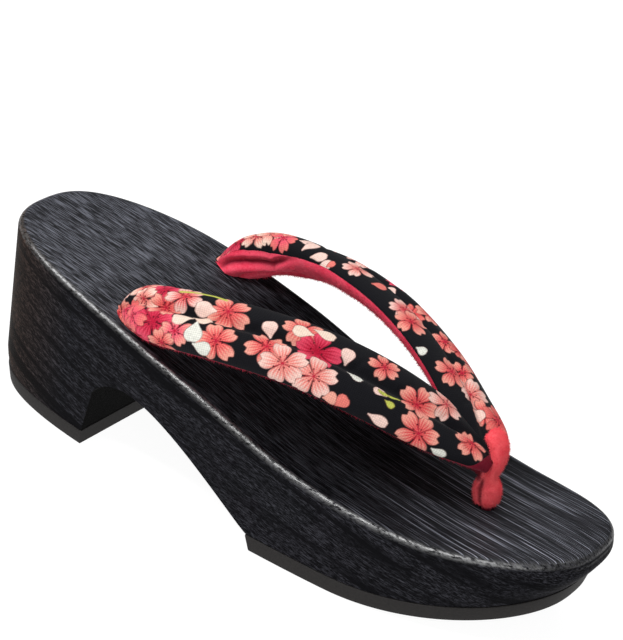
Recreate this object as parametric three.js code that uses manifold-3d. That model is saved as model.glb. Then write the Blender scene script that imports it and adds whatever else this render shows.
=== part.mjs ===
// Geta sandal: a carved wooden base with a raised heel, two rubber treads, a padded V strap
// with a velvet backing, and a toe post that hooks over the point of the V.
// Millimetres, +X to the toe, +Z up. Shapes are laid out from the middle of the base's oval.
import * as THREE from 'three';
import { mergeVertices } from 'three/addons/utils/BufferGeometryUtils.js';
import Module from 'manifold-3d';

const wasm = await Module();
wasm.setup();

// Clearance between pieces that meet
const GAP = 0.3;

// Oval plan of the base
const LENGTH = 241.5;
const WIDTH = 88;
const OVAL_POWER = 2.73; // power of the superellipse, 2 would be an ellipse
const SIDE_STEPS = 40; // points along each side from heel to toe
const RIM_RADIUS = 3.2; // rounding of the deck's edge
const RIM_STEPS = 4;

// Height of the deck above the floor, in even steps from heel to toe
const DECK_STEP = 48;
const DECK = [
  { x: -119, z: 63.8 },
  { x: -71, z: 57.9 },
  { x: -23, z: 47.9 },
  { x: 25, z: 35.2 },
  { x: 73, z: 31.4 },
  { x: 121, z: 38.4 },
];

// Heel, arch and toe spring
const HEEL_FRONT = -63.6; // heel's front face at the floor
const HEEL_LEAN = { side: 5.2, rear: 4.2 }; // how far the heel's walls lean in at the floor
const HEEL_TUCK = 3.4; // how much further the rear end turns in at the floor
const TUCK_START = 0.8; // depth at which it begins to turn in
const HEEL_TOP = { x: -60, z: 23 }; // where the heel's front face begins to curve into the arch
const HEEL_CURVE = { x: 0.8, z: 4 }; // handle of that curve at the heel
const ARCH_CROWN = { x: -45, z: 31.6 }; // highest point of the arch
const CROWN_CURVE = { rear: 7, front: 13 }; // handles of the curves at the crown
const SLOPE_CURVE = { x: 28, z: 17 }; // handle of the long slope at the forefoot
const TOE_REACH = 1.2; // how far the toe runs out past the oval
const TOE_LEAN = 5.5; // how far the toe's wall leans in at the floor
const TOE_BELLY = 2.6; // how far that wall swells out half-way down
const WALL_STEPS = 8; // steps from the rubber up to the rim
const SPRING_START = 47; // where the sole begins to rise to the toe
const SPRING_RADIUS = 148;

// Rubber treads
const TREAD = 5.3;
const TREAD_TOP_DEPTH = 0.9; // share of the walls' lean that is reached at the top of the rubber
const TREAD_PROUD = 0.3; // how far the rubber stands out past the wood
const FOREFOOT_REAR = 14; // forefoot tread's rear end at its top
const FOREFOOT_RAKE = 2.7; // how far that end slants forward at the floor

// Strap: one row for each section of an arm, from the hole in the deck to the point of the V.
// side, half-width and half-thickness in mm; back and out turn the face to the heel and outward.
const ARM = [
  { x: -55.5, side: 30, z: 48, wide: 5.6, thick: 5.6, back: 0.85, out: 0.4, crease: 0 },
  { x: -52.5, side: 31.4, z: 55.8, wide: 7, thick: 6.6, back: 0.7, out: 0.6, crease: 0.12 },
  { x: -46.5, side: 34.4, z: 61.2, wide: 9.2, thick: 7.2, back: 0.4, out: 0.7, crease: 0.22 },
  { x: -36, side: 38, z: 65.2, wide: 11, thick: 6.8, back: 0.1, out: 0.65, crease: 0.28 },
  { x: -13, side: 36, z: 69.4, wide: 12.8, thick: 5.8, back: 0, out: 0.45, crease: 0.3 },
  { x: 13, side: 28.9, z: 69.9, wide: 13.6, thick: 5.1, back: 0, out: 0.4, crease: 0.32 },
  { x: 37, side: 20.2, z: 65.4, wide: 13.8, thick: 4.7, back: 0, out: 0.4, crease: 0.32 },
  { x: 57, side: 10.7, z: 58.2, wide: 12.7, thick: 4.3, back: 0, out: 0.33, crease: 0.3 },
  { x: 68.5, side: 3.3, z: 52, wide: 11.2, thick: 3.8, back: 0, out: 0.06, crease: 0.2 },
  { x: 74, side: 0, z: 48.4, wide: 7.6, thick: 2.9, back: 0, out: 0, crease: 0.1 },
];
const ARM_STEPS = 3; // sections between two rows
const ACROSS_STEPS = 10; // points across the face of a section
const EDGE_POWER = 2.4; // roundness of the padded edges
const CREASE_WIDTH = 0.2; // as a share of the half-width
const BACKING = 1.5; // thickness of the velvet on the underside
const REAR_HOLE = { x: -51.5, side: 31, radius: 4.6 };

// Toe post: one row for each section, from the hole in the deck, up and over the point of the V
const POST = [
  { x: 78.5, z: 12, thick: 4.3, wide: 4.3, crease: 0 },
  { x: 78.5, z: 24, thick: 4.3, wide: 4.3, crease: 0 },
  { x: 78.5, z: 30.5, thick: 4.3, wide: 4.2, crease: 0.05 },
  { x: 78.1, z: 34.5, thick: 5.2, wide: 4.9, crease: 0.4 },
  { x: 77.4, z: 38.9, thick: 5, wide: 4.7, crease: 0.5 },
  { x: 76.7, z: 43.6, thick: 3.3, wide: 3.3, crease: 0.3 },
  { x: 77.8, z: 49.7, thick: 2.8, wide: 4, crease: 0.05 },
  { x: 77.1, z: 54.8, thick: 2.7, wide: 4.5, crease: 0 },
  { x: 74.2, z: 57.5, thick: 2.5, wide: 4.7, crease: 0 },
  { x: 71.3, z: 57.9, thick: 1.8, wide: 3.8, crease: 0 },
];
// The loop's other half, from the neck back under the point of the V
const POST_TAIL = [
  { x: 76.5, z: 41.4, thick: 1.9, wide: 2.8, crease: 0 },
  { x: 74.7, z: 43.8, thick: 1.8, wide: 3.4, crease: 0 },
  { x: 71.4, z: 45.6, thick: 1.8, wide: 3.9, crease: 0 },
  { x: 68, z: 47.2, thick: 1.5, wide: 3.5, crease: 0 },
];
const POST_STEPS = 3;
const LOBE_STEPS = 10; // points along one side of the post's section
const FRONT_HOLE = { x: 78.5, radius: 4.4 };

// Room past the base that a cutter reaches
const REACH = 20;
const HOLE_SIDES = 28;

const MATERIALS = {
  wood: new THREE.MeshStandardMaterial({ color: 0x1d1c1f, roughness: 0.42, metalness: 0 }),
  rubber: new THREE.MeshStandardMaterial({ color: 0x2b2826, roughness: 0.85, metalness: 0 }),
  cotton: new THREE.MeshStandardMaterial({ color: 0x1b181d, roughness: 0.9, metalness: 0 }),
  velvet: new THREE.MeshStandardMaterial({ color: 0xc8303f, roughness: 1, metalness: 0 }),
};

// Smooth value of one column at a fractional row number
function smooth(rows, column, at) {
  const last = rows.length - 1;
  const value = (row) => {
    if (row < 0) return 2 * rows[0][column] - rows[1][column];
    if (row > last) return 2 * rows[last][column] - rows[last - 1][column];
    return rows[row][column];
  };
  const row = Math.min(Math.max(Math.floor(at), 0), last - 1);
  const part = at - row;
  const rest = 1 - part;
  const startSlope = (value(row + 1) - value(row - 1)) / 2;
  const endSlope = (value(row + 2) - value(row)) / 2;
  return value(row) * rest * rest * (1 + 2 * part)
    + startSlope * part * rest * rest
    + value(row + 1) * part * part * (3 - 2 * part)
    - endSlope * part * part * rest;
}

// Every column of a table at a fractional row number
function smoothRow(rows, at) {
  return Object.fromEntries(Object.keys(rows[0]).map((column) => [column, smooth(rows, column, at)]));
}

// Row numbers of the sections, several to each step of the table
function sectionsOf(rows, steps) {
  const count = (rows.length - 1) * steps;
  return Array.from({ length: count + 1 }, (_, k) => k / steps);
}

// Closed solid through rings. A ring is two rails that run the same way, and the caps join rail to rail.
function loft(rings) {
  const rail = rings[0].near.length;
  const around = 2 * rail;
  const points = rings.flatMap((ring) => [...ring.near, ...ring.far.slice().reverse()]);
  const faces = [];
  const quad = (a, b, c, d) => faces.push(a, b, c, a, c, d);
  for (let k = 0; k + 1 < rings.length; k += 1) {
    const low = k * around;
    const high = low + around;
    for (let i = 0; i < around; i += 1) {
      const j = (i + 1) % around;
      quad(low + i, low + j, high + j, high + i);
    }
  }
  const top = (rings.length - 1) * around;
  for (let i = 0; i + 1 < rail; i += 1) {
    const across = around - 1 - i;
    quad(i, across, across - 1, i + 1);
    quad(top + i, top + i + 1, top + across - 1, top + across);
  }
  const geometry = new THREE.BufferGeometry().setFromPoints(points);
  geometry.setIndex(faces);
  return geometry;
}

// Solid of a closed geometry, for cutting and joining
function solidOf(geometry) {
  const plain = geometry.clone();
  plain.deleteAttribute('normal');
  plain.deleteAttribute('uv');
  const merged = mergeVertices(plain, 1e-4);
  const corners = merged.index.array;
  const faces = [];
  for (let i = 0; i < corners.length; i += 3) {
    const [a, b, c] = corners.slice(i, i + 3);
    if (a !== b && b !== c && c !== a) faces.push(a, b, c);
  }
  return new wasm.Manifold(new wasm.Mesh({
    numProp: 3,
    vertProperties: merged.attributes.position.array,
    triVerts: new Uint32Array(faces),
  }));
}

// Named mesh of a solid, moved along the shoe
function meshOf(name, solid, material, shift) {
  const { vertProperties, triVerts } = solid.translate([shift, 0, 0]).getMesh();
  const geometry = new THREE.BufferGeometry();
  geometry.setAttribute('position', new THREE.BufferAttribute(vertProperties, 3));
  geometry.setIndex(new THREE.BufferAttribute(triVerts, 1));
  geometry.computeVertexNormals();
  const mesh = new THREE.Mesh(geometry, material);
  mesh.name = name;
  return mesh;
}

// The same geometry on the other side of the shoe's middle plane
function mirrored(geometry) {
  const other = geometry.clone().scale(1, -1, 1);
  other.setIndex(Array.from(geometry.index.array).reverse());
  return other;
}

const deckHeight = (x) => smooth(DECK, 'z', (x - DECK[0].x) / DECK_STEP);

// Underside of the treads, flat on the floor up to the toe spring
function soleHeight(x) {
  const run = Math.max(0, x - SPRING_START);
  return SPRING_RADIUS - Math.sqrt(SPRING_RADIUS ** 2 - run ** 2);
}

// Upper side of the treads, one thickness off the underside, square to the toe spring
function treadTop(x) {
  const run = Math.max(0, x - SPRING_START);
  return soleHeight(x) + (TREAD * SPRING_RADIUS) / Math.sqrt(SPRING_RADIUS ** 2 - run ** 2);
}

// Point of the oval at a share of the way from heel to toe, drawn in by an inset
function ovalPoint(share, inset) {
  const turn = Math.PI * share;
  const along = -Math.sign(Math.cos(turn)) * Math.abs(Math.cos(turn)) ** (2 / OVAL_POWER);
  const across = Math.sin(turn) ** (2 / OVAL_POWER);
  return { x: along * (LENGTH / 2 - inset), half: Math.max(across * (WIDTH / 2 - inset), 0) };
}

// Share of the way from heel to toe at which the oval reaches a given x
function ovalShare(x) {
  const along = x / (LENGTH / 2);
  return Math.acos(-Math.sign(along) * Math.abs(along) ** (OVAL_POWER / 2)) / Math.PI;
}

// Point of the walls, drawn in by an inset. Depth is 0 at the rim and 1 at the floor, where the walls of
// heel and toe have leaned in.
function wallPoint(share, inset, depth) {
  const { x, half } = ovalPoint(share, inset);
  const reach = x / (LENGTH / 2);
  const heel = depth * (1 - THREE.MathUtils.smoothstep(x, HEEL_FRONT, FOREFOOT_REAR));
  const toe = THREE.MathUtils.smoothstep(x, SPRING_START, LENGTH / 2);
  const toeLean = TOE_LEAN * depth - TOE_BELLY * Math.sin(Math.PI * depth);
  const tuck = HEEL_TUCK * THREE.MathUtils.smoothstep(depth, TUCK_START, 1);
  const behind = Math.min(reach, 0);
  const rear = HEEL_LEAN.rear * heel * behind ** 2 + tuck * behind ** 6;
  const front = (TOE_REACH - toeLean) * toe * Math.max(reach, 0) ** 4;
  const sideLean = HEEL_LEAN.side * heel + toeLean * toe;
  return { x: x + rear + front, half: half * (1 - sideLean / (WIDTH / 2)) };
}

// Ring round a stretch of the oval, its two sides as rails from rear to front
function ovalRing(from, to, pointAt, heightAt) {
  const near = [];
  const far = [];
  for (let k = 0; k <= SIDE_STEPS; k += 1) {
    const { x, half } = pointAt(from + (to - from) * (k / SIDE_STEPS));
    near.push(new THREE.Vector3(x, -half, heightAt(x)));
    far.push(new THREE.Vector3(x, half, heightAt(x)));
  }
  return { near, far };
}

// Upright hole through the base
function hole(x, y, radius) {
  const height = DECK[0].z + 2 * REACH;
  const drill = new THREE.CylinderGeometry(radius, radius, height, HOLE_SIDES).rotateX(Math.PI / 2);
  return solidOf(drill.translate(x, y, height / 2 - REACH));
}

// Notch between heel and forefoot, as a cutter right across the base
function archCutter() {
  const slopeEnd = { x: FOREFOOT_REAR, z: TREAD };
  const profile = new THREE.Shape();
  profile.moveTo(HEEL_FRONT, 0);
  profile.lineTo(HEEL_TOP.x, HEEL_TOP.z);
  profile.bezierCurveTo(
    HEEL_TOP.x + HEEL_CURVE.x, HEEL_TOP.z + HEEL_CURVE.z,
    ARCH_CROWN.x - CROWN_CURVE.rear, ARCH_CROWN.z,
    ARCH_CROWN.x, ARCH_CROWN.z,
  );
  profile.bezierCurveTo(
    ARCH_CROWN.x + CROWN_CURVE.front, ARCH_CROWN.z,
    slopeEnd.x - SLOPE_CURVE.x, slopeEnd.z + SLOPE_CURVE.z,
    slopeEnd.x, slopeEnd.z,
  );
  profile.lineTo(slopeEnd.x + FOREFOOT_RAKE, 0);
  profile.closePath();
  const depth = WIDTH + 2 * REACH;
  const notch = new THREE.ExtrudeGeometry(profile, { depth, bevelEnabled: false, curveSegments: 14 });
  return solidOf(notch.rotateX(Math.PI / 2).translate(0, depth / 2, 0));
}

// Uncut block: walls from the treads up to a rounded rim and a deck that is level from side to side
function block(raise) {
  const rings = [];
  for (let k = 0; k < WALL_STEPS; k += 1) {
    const rise = k / WALL_STEPS;
    const wall = (share) => wallPoint(share, 0, TREAD_TOP_DEPTH * (1 - rise));
    const height = (x) => (
      THREE.MathUtils.lerp(treadTop(x) + GAP, deckHeight(x) - RIM_RADIUS + raise, rise)
    );
    rings.push(ovalRing(0, 1, wall, height));
  }
  for (let k = 0; k <= RIM_STEPS; k += 1) {
    const turn = (Math.PI / 2) * (k / RIM_STEPS);
    const inset = RIM_RADIUS * (1 - Math.cos(turn));
    const drop = RIM_RADIUS * (1 - Math.sin(turn));
    const rim = (x) => deckHeight(x) - drop + raise;
    rings.push(ovalRing(0, 1, (share) => wallPoint(share, inset, 0), rim));
  }
  return solidOf(loft(rings));
}

// A block with the strap's three holes, each widened by the same amount
function drilled(solid, widen) {
  const { x, side, radius } = REAR_HOLE;
  return solid.subtract(hole(x, -side, radius + widen))
    .subtract(hole(x, side, radius + widen))
    .subtract(hole(FRONT_HOLE.x, 0, FRONT_HOLE.radius + widen));
}

function woodBase() {
  return drilled(block(0), 0).subtract(archCutter());
}

// Soft piece trimmed to sit on the deck and to pass into the holes
function seated(solid) {
  return solid.subtract(drilled(block(GAP), -GAP));
}

// Outline of a tread at its underside or its top
const treadOutline = (depth) => (share) => wallPoint(share, -TREAD_PROUD, depth);

// Forefoot tread, bent up under the toe, its rear end slanting
function forefootTread() {
  const bottomRear = ovalShare(FOREFOOT_REAR + FOREFOOT_RAKE);
  const topRear = ovalShare(FOREFOOT_REAR);
  return solidOf(loft([
    ovalRing(bottomRear, 1, treadOutline(1), soleHeight),
    ovalRing(topRear, 1, treadOutline(TREAD_TOP_DEPTH), treadTop),
  ]));
}

// Heel tread, flat
function heelTread() {
  const front = ovalShare(HEEL_FRONT);
  return solidOf(loft([
    ovalRing(0, front, treadOutline(1), soleHeight),
    ovalRing(0, front, treadOutline(TREAD_TOP_DEPTH), treadTop),
  ]));
}

// Height of a padded section across its width, with a crease down the middle
function padded(across, crease) {
  const dome = Math.sqrt(Math.max(0, 1 - Math.abs(across) ** EDGE_POWER));
  return dome * (1 - crease * Math.exp(-((across / CREASE_WIDTH) ** 2)));
}

// One arm of the strap on the near side. offsetsOf gives the lower and upper rail of a section.
function arm(offsetsOf) {
  const centre = (at) => {
    const { x, side, z } = smoothRow(ARM, at);
    return new THREE.Vector3(x, -side, z);
  };
  const nudge = 0.01;
  const rings = sectionsOf(ARM, ARM_STEPS).map((at) => {
    const row = smoothRow(ARM, at);
    const middle = centre(at);
    const along = centre(at + nudge).sub(centre(at - nudge)).normalize();
    const face = new THREE.Vector3(-row.back, -row.out, 1 - row.back);
    face.addScaledVector(along, -face.dot(along)).normalize();
    const outward = along.clone().cross(face);
    const place = ({ across, up }) => (
      middle.clone().addScaledVector(outward, across).addScaledVector(face, up)
    );
    const near = [];
    const far = [];
    for (let k = 0; k <= ACROSS_STEPS; k += 1) {
      const turn = Math.PI * (k / ACROSS_STEPS);
      const { lower, upper } = offsetsOf(row, Math.cos(turn));
      near.push(place(lower));
      far.push(place(upper));
    }
    return { near, far };
  });
  return loft(rings);
}

// Printed face and padding: the full section, drawn in underneath to leave room for the backing
function faceOffsets({ wide, thick, crease }, across) {
  const layer = BACKING + GAP;
  const height = thick * padded(across, crease);
  return {
    lower: { across: across * (wide - layer), up: -Math.max(GAP, height - layer) },
    upper: { across: across * wide, up: height },
  };
}

// Velvet backing: a layer round the underside, from edge to edge
function backingOffsets({ wide, thick, crease }, across) {
  const height = thick * padded(across, crease);
  const inner = Math.max(GAP, height - BACKING - GAP) + GAP;
  return {
    lower: { across: across * wide, up: -Math.max(height, inner + GAP) },
    upper: { across: across * (wide - BACKING), up: -inner },
  };
}

// The whole strap with a clearance round it
function clearanceOffsets({ wide, thick, crease }, across) {
  const height = thick * padded(across, crease) + GAP;
  return {
    lower: { across: across * (wide + GAP), up: -Math.max(height, 3 * GAP) },
    upper: { across: across * (wide + GAP), up: height },
  };
}

// Both arms, each kept to its own side of the middle plane, joined where they meet
function bothArms(offsetsOf) {
  const near = arm(offsetsOf);
  const overlap = GAP / 10;
  const room = 2 * LENGTH;
  const nearSide = new THREE.BoxGeometry(room, room, room).translate(0, overlap - room / 2, 0);
  const farSide = new THREE.BoxGeometry(room, room, room).translate(0, room / 2 - overlap, 0);
  return solidOf(near).intersect(solidOf(nearSide))
    .add(solidOf(mirrored(near)).intersect(solidOf(farSide)));
}

// Padded band in the middle plane, its section two lobes with a crease between them
function band(rows) {
  const nudge = 0.01;
  const rings = sectionsOf(rows, POST_STEPS).map((at) => {
    const row = smoothRow(rows, at);
    const run = smooth(rows, 'x', at + nudge) - smooth(rows, 'x', at - nudge);
    const rise = smooth(rows, 'z', at + nudge) - smooth(rows, 'z', at - nudge);
    const front = new THREE.Vector3(rise, 0, -run).normalize();
    const near = [];
    const far = [];
    for (let k = 0; k <= LOBE_STEPS; k += 1) {
      const along = -Math.cos(Math.PI * (k / LOBE_STEPS));
      const half = row.wide * padded(along, row.crease);
      const spot = new THREE.Vector3(row.x, 0, row.z).addScaledVector(front, along * row.thick);
      near.push(spot.clone().setY(-half));
      far.push(spot.clone().setY(half));
    }
    return { near, far };
  });
  return solidOf(loft(rings));
}

// Toe post: a doubled stem that hooks over the point of the V, cut clear of the strap
function toePost() {
  const loop = seated(band(POST).add(band(POST_TAIL)).subtract(bothArms(clearanceOffsets)));
  return loop.decompose().sort((a, b) => b.volume() - a.volume())[0];
}

// The toe reaches further from the middle of the oval than the heel, so all pieces move back to bring
// the middle of the whole length over the origin
const base = woodBase();
const { min, max } = base.boundingBox();
const toMiddle = -(min[0] + max[0]) / 2;

const sandal = new THREE.Group();
sandal.add(
  meshOf('wood_base', base, MATERIALS.wood, toMiddle),
  meshOf('heel_tread', heelTread(), MATERIALS.rubber, toMiddle),
  meshOf('forefoot_tread', forefootTread(), MATERIALS.rubber, toMiddle),
  meshOf('strap_face', seated(bothArms(faceOffsets)), MATERIALS.cotton, toMiddle),
  meshOf('strap_backing', seated(bothArms(backingOffsets)), MATERIALS.velvet, toMiddle),
  meshOf('toe_post', toePost(), MATERIALS.velvet, toMiddle),
);

export default sandal;
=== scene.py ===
"""Geta sandal: a lacquered wooden base on two rubber treads, with a padded strap of printed cotton,
velvet underneath, held by a velvet toe post. Sizes are in millimetres in the part's own frame."""

import math

import bmesh
import bpy
import numpy as np
from mathutils import Matrix, Vector


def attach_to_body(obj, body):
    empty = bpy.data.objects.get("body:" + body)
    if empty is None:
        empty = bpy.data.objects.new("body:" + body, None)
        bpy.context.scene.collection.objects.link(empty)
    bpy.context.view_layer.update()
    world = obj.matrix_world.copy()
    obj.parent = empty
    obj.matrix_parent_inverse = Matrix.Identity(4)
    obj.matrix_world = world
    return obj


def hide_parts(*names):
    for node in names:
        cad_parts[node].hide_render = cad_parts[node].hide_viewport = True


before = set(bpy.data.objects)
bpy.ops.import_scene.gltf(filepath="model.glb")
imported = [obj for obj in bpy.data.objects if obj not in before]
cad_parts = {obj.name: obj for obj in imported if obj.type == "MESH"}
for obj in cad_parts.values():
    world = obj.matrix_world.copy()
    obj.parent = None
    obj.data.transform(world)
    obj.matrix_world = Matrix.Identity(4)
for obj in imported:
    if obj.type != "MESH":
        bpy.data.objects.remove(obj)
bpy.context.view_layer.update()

MM = 0.001
GAP = 0.3
SEED = 7

# Wooden base, as in the part's source
LENGTH, WIDTH = 241.5, 88.0
OVAL_POWER = 2.73
RIM_RADIUS = 3.2
DECK_START, DECK_STEP = -119.0, 48.0
DECK_HEIGHTS = (63.8, 57.9, 47.9, 35.2, 31.4, 38.4)
HEEL_FRONT = -63.6
HEEL_LEAN_SIDE, HEEL_LEAN_REAR = 5.2, 4.2
HEEL_TUCK, TUCK_START = 3.4, 0.8
HEEL_TOP = (-60.0, 23.0)
HEEL_CURVE = (0.8, 4.0)
ARCH_CROWN = (-45.0, 31.6)
CROWN_REAR, CROWN_FRONT = 7.0, 13.0
SLOPE_CURVE = (-28.0, 17.0)
RISE_STEPS, FALL_STEPS = 40, 60
TOE_REACH, TOE_LEAN, TOE_BELLY = 1.2, 5.5, 2.6
SPRING_START, SPRING_RADIUS = 47.0, 148.0
# From the middle of the oval to the part's own origin, the middle of its whole length
ORIGIN_X = 0.826

# Rubber treads
TREAD = 5.3
TREAD_TOP_DEPTH = 0.9
TREAD_PROUD = 0.3
TREAD_EDGE = 0.5
FOREFOOT_REAR, FOREFOOT_RAKE = 14.0, 2.7

# One arm of the strap, from the rear hole to the point of the V. Side is the distance from the
# middle plane. The face leans back and out. Crease is its depth as a share of the padding.
ARM_COLUMNS = ("x", "side", "z", "wide", "thick", "back", "out", "crease")
ARM_ROWS = (
    (-55.5, 30, 48, 5.6, 5.6, 0.85, 0.4, 0),
    (-52.5, 31.4, 55.8, 7, 6.6, 0.7, 0.6, 0.12),
    (-46.5, 34.4, 61.2, 9.2, 7.2, 0.4, 0.7, 0.22),
    (-36, 38, 65.2, 11, 6.8, 0.1, 0.65, 0.28),
    (-13, 36, 69.4, 12.8, 5.8, 0, 0.45, 0.3),
    (13, 28.9, 69.9, 13.6, 5.1, 0, 0.4, 0.32),
    (37, 20.2, 65.4, 13.8, 4.7, 0, 0.4, 0.32),
    (57, 10.7, 58.2, 12.7, 4.3, 0, 0.33, 0.3),
    (68.5, 3.3, 52, 11.2, 3.8, 0, 0.06, 0.2),
    (74, 0, 48.4, 7.6, 2.9, 0, 0, 0.1),
)
EDGE_POWER = 2.4
CREASE_WIDTH = 0.17
CREASE_DEPTH = 1.5
BACKING = 1.5
REAR_HOLE_X, REAR_HOLE_SIDE, REAR_HOLE_RADIUS = -51.5, 31.0, 4.6

# Toe post in the middle plane: stem, neck and hood over the point of the V, and a tail under the
# strap. Its foot, and the hole that the foot hides, are slimmer than the solid's.
BAND_COLUMNS = ("x", "z", "thick", "wide", "crease")
POST_ROWS = (
    (78.5, 12, 2.4, 2.4, 0),
    (78.5, 24, 2.4, 2.4, 0),
    (78.5, 31.3, 1.7, 1.6, 0),
    (77.9, 34, 4.1, 3.8, 0.55),
    (76.9, 38.8, 4.6, 4.3, 0.7),
    (76.4, 43.6, 2.8, 2.7, 0.3),
    (77.7, 49.7, 2.6, 3.6, 0.05),
    (77.3, 54.8, 2.5, 4, 0),
    (74.9, 57.5, 2.4, 4.1, 0),
    (72.6, 57.8, 1.7, 3.3, 0),
)
TAIL_ROWS = (
    (76.5, 41.4, 1.7, 2.6, 0),
    (74.7, 43.8, 1.7, 3.2, 0),
    (71.4, 45.6, 1.7, 3.7, 0),
    (68, 47.2, 1.4, 3.4, 0),
)
POST_CREASE_AT = -0.25
FRONT_HOLE_X, FRONT_HOLE_RADIUS = 78.5, 2.8


def tone(red, green, blue):
    """Screen colour, 0 to 255, as the linear colour that Blender's shaders take."""
    share = np.array((red, green, blue)) / 255
    return np.where(share <= 0.04045, share / 12.92, ((share + 0.055) / 1.055) ** 2.4)


# Colours of the print
TONES = {
    "ground": tone(17, 17, 22),
    "pale": tone(249, 214, 202),
    "cream": tone(248, 222, 204),
    "white": tone(232, 232, 222),
    "salmon": tone(247, 172, 154),
    "rose": tone(238, 128, 118),
    "coral": tone(226, 72, 78),
    "crimson": tone(240, 82, 110),
    "deep": tone(190, 24, 58),
    "wine": tone(84, 12, 26),
    "green": tone(196, 200, 92),
}

# Blossoms of the print: distance along the arm from its rear end, distance out from the crease,
# radius, turn in degrees, colour of the petals, and of the heart where it isn't the usual one.
# Later rows lie over earlier ones.
HEARTS = {"salmon": "coral", "pale": "rose", "cream": "rose", "crimson": "deep", "rose": "crimson"}
NEAR_BLOSSOMS = (
    (7.5, 2, 6.4, 30, "salmon"),
    (10, -8, 5.6, 0, "pale", "coral"),
    (13.5, 10, 6, 50, "salmon"),
    (18, -7.5, 6, 10, "cream"),
    (22, 14.5, 6, 20, "crimson"),
    (26.5, -7.5, 5.6, 45, "crimson"),
    (20.5, -2, 6, 20, "cream"),
    (15, 3.5, 6, 0, "rose"),
    (29, 7.6, 7.6, -28, "crimson"),
    (29.5, -0.8, 6.2, 62, "salmon"),
    (35, -6.6, 6.6, 19, "pale", "coral"),
    (37.5, 9.4, 6, 50, "salmon", "crimson"),
    (21, 7, 6, 10, "rose"),
    (33, 14.5, 5.6, 40, "salmon"),
    (51, -4.6, 8, 20, "salmon"),
    (52, 9.6, 7.4, 33, "salmon"),
    (76, -7, 7.4, 40, "salmon"),
    (83, -1.2, 8.2, -17, "crimson"),
    (67.8, 6.4, 7.4, 10, "salmon"),
    (85.5, 10.4, 8.2, 46, "pale"),
    (74.6, 10.4, 8.2, 31, "pale"),
    (105, -7.4, 5.9, 28, "salmon"),
    (123.5, 11, 7.6, -9, "salmon"),
    (119.8, -0.8, 7.6, -8, "salmon"),
    (129.4, -7.4, 7.2, 24, "pale"),
    (141.2, 4.6, 6.7, -26, "salmon"),
)
FAR_BLOSSOMS = (
    (9, -8, 5.8, 0, "salmon", "crimson"),
    (13.5, -9.5, 5.6, 30, "crimson"),
    (17, -6.5, 5.4, 50, "rose"),
    (19, -11, 5.4, 0, "cream"),
    (24.5, -9.5, 6.2, 30, "cream"),
    (30, -11.5, 6.6, 10, "rose"),
    (22, -1, 6.4, 40, "salmon"),
    (28, -4.5, 6.4, 15, "salmon"),
    (40, 7, 7, 25, "salmon"),
    (55, 9, 7, 0, "pale", "coral"),
    (64, -8, 6.4, 15, "pale"),
    (72, 11, 7.4, 40, "crimson"),
    (88, 0, 5.4, 20, "rose", "coral"),
    (90, 9, 7.4, 30, "salmon"),
    (90, -8, 6.6, 20, "pale", "coral"),
    (96, -10, 6.6, 0, "salmon"),
    (104, 3.5, 5.4, 0, "salmon"),
    (108, 8.5, 5.6, 30, "rose", "coral"),
    (114, 11, 6.6, 10, "salmon"),
    (119.5, -6.4, 7, 25, "salmon"),
    (118, 2, 5, 45, "salmon"),
    (127, 0.8, 7.2, 0, "pale"),
    (135.5, 2.5, 5.6, 30, "salmon"),
    (137.5, 8, 6.8, 20, "rose", "coral"),
)

# Loose petals: place of the base, length, half-width, turn in degrees, colour
NEAR_PETALS = (
    (47.5, -3.6, 7.6, 3.2, 178, "pale"),
    (41.8, 3, 7.2, 2.9, 165, "cream"),
    (40.6, 1.6, 7, 2.8, 8, "cream"),
    (43.6, 4.4, 7.6, 3.2, 86, "white"),
    (44.6, 12.4, 6.6, 2.6, 14, "white"),
    (67.2, 0.2, 6.6, 2.7, -110, "pale"),
    (80, -6.5, 7.2, 2.8, 178, "cream"),
    (79, -9.5, 7.6, 2.6, 4, "cream"),
    (90.8, 15.8, 4.8, 2.5, -20, "salmon"),
    (95.6, 16.6, 5.4, 2.4, -60, "rose"),
    (93, -0.8, 6.8, 2.5, -98, "pale"),
    (94.2, 2, 6.2, 2.1, 14, "white"),
    (106, 13.6, 7.4, 2, 4, "pale"),
    (129.2, 13.4, 5.2, 1.9, 12, "white"),
)
FAR_PETALS = (
    (36, -5, 4.6, 2.2, 60, "pale"),
    (36.5, -10, 6, 2.6, 20, "pale"),
    (41, -14.5, 8, 2.5, 70, "pale"),
    (46, -15.5, 7, 2.4, 30, "pale"),
    (51, -18, 7, 2.2, 40, "pale"),
    (55, -16, 4, 1.6, 60, "rose"),
    (74, -10.5, 5.6, 2.6, 50, "rose"),
    (72, -1, 5.6, 2.2, 40, "pale"),
    (107, -15, 4.4, 1.9, 30, "white"),
    (132.2, -1.8, 6.4, 2.8, 30, "pale"),
)

# Stems: points along and out, half-width, colour
NEAR_STEMS = (
    (((32, -8.6), (37, -10.2), (43.5, -10.8), (48, -10)), 0.55, "green"),
    (((108, 4), (111, 4), (113.5, 3)), 0.4, "green"),
)
NEAR_BUDS = (
    (109.6, 4.4, 5.2, 2.6, 196, "pale"),
    (110.2, 4.2, 4.4, 1.3, 190, "green"),
    (109, 6.2, 4, 1.4, 20, "green"),
)
NEAR_PRINT = (NEAR_BLOSSOMS, NEAR_STEMS, NEAR_PETALS + NEAR_BUDS)
FAR_PRINT = (FAR_BLOSSOMS, (), FAR_PETALS)


# Curves of the base and of the strap

def smooth(values, at):
    """Smooth curve through values that stand at 0, 1, 2 and so on."""
    values = np.asarray(values, float)
    ends = np.concatenate(([2 * values[0] - values[1]], values, [2 * values[-1] - values[-2]]))
    step = np.clip(np.floor(at).astype(int), 0, len(values) - 2)
    part = at - step
    rest = 1 - part
    before, here, there, after = (ends[step + k] for k in range(4))
    return (here * rest ** 2 * (1 + 2 * part) + there * part ** 2 * (1 + 2 * rest)
            + (there - before) / 2 * part * rest ** 2 - (after - here) / 2 * part ** 2 * rest)


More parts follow.
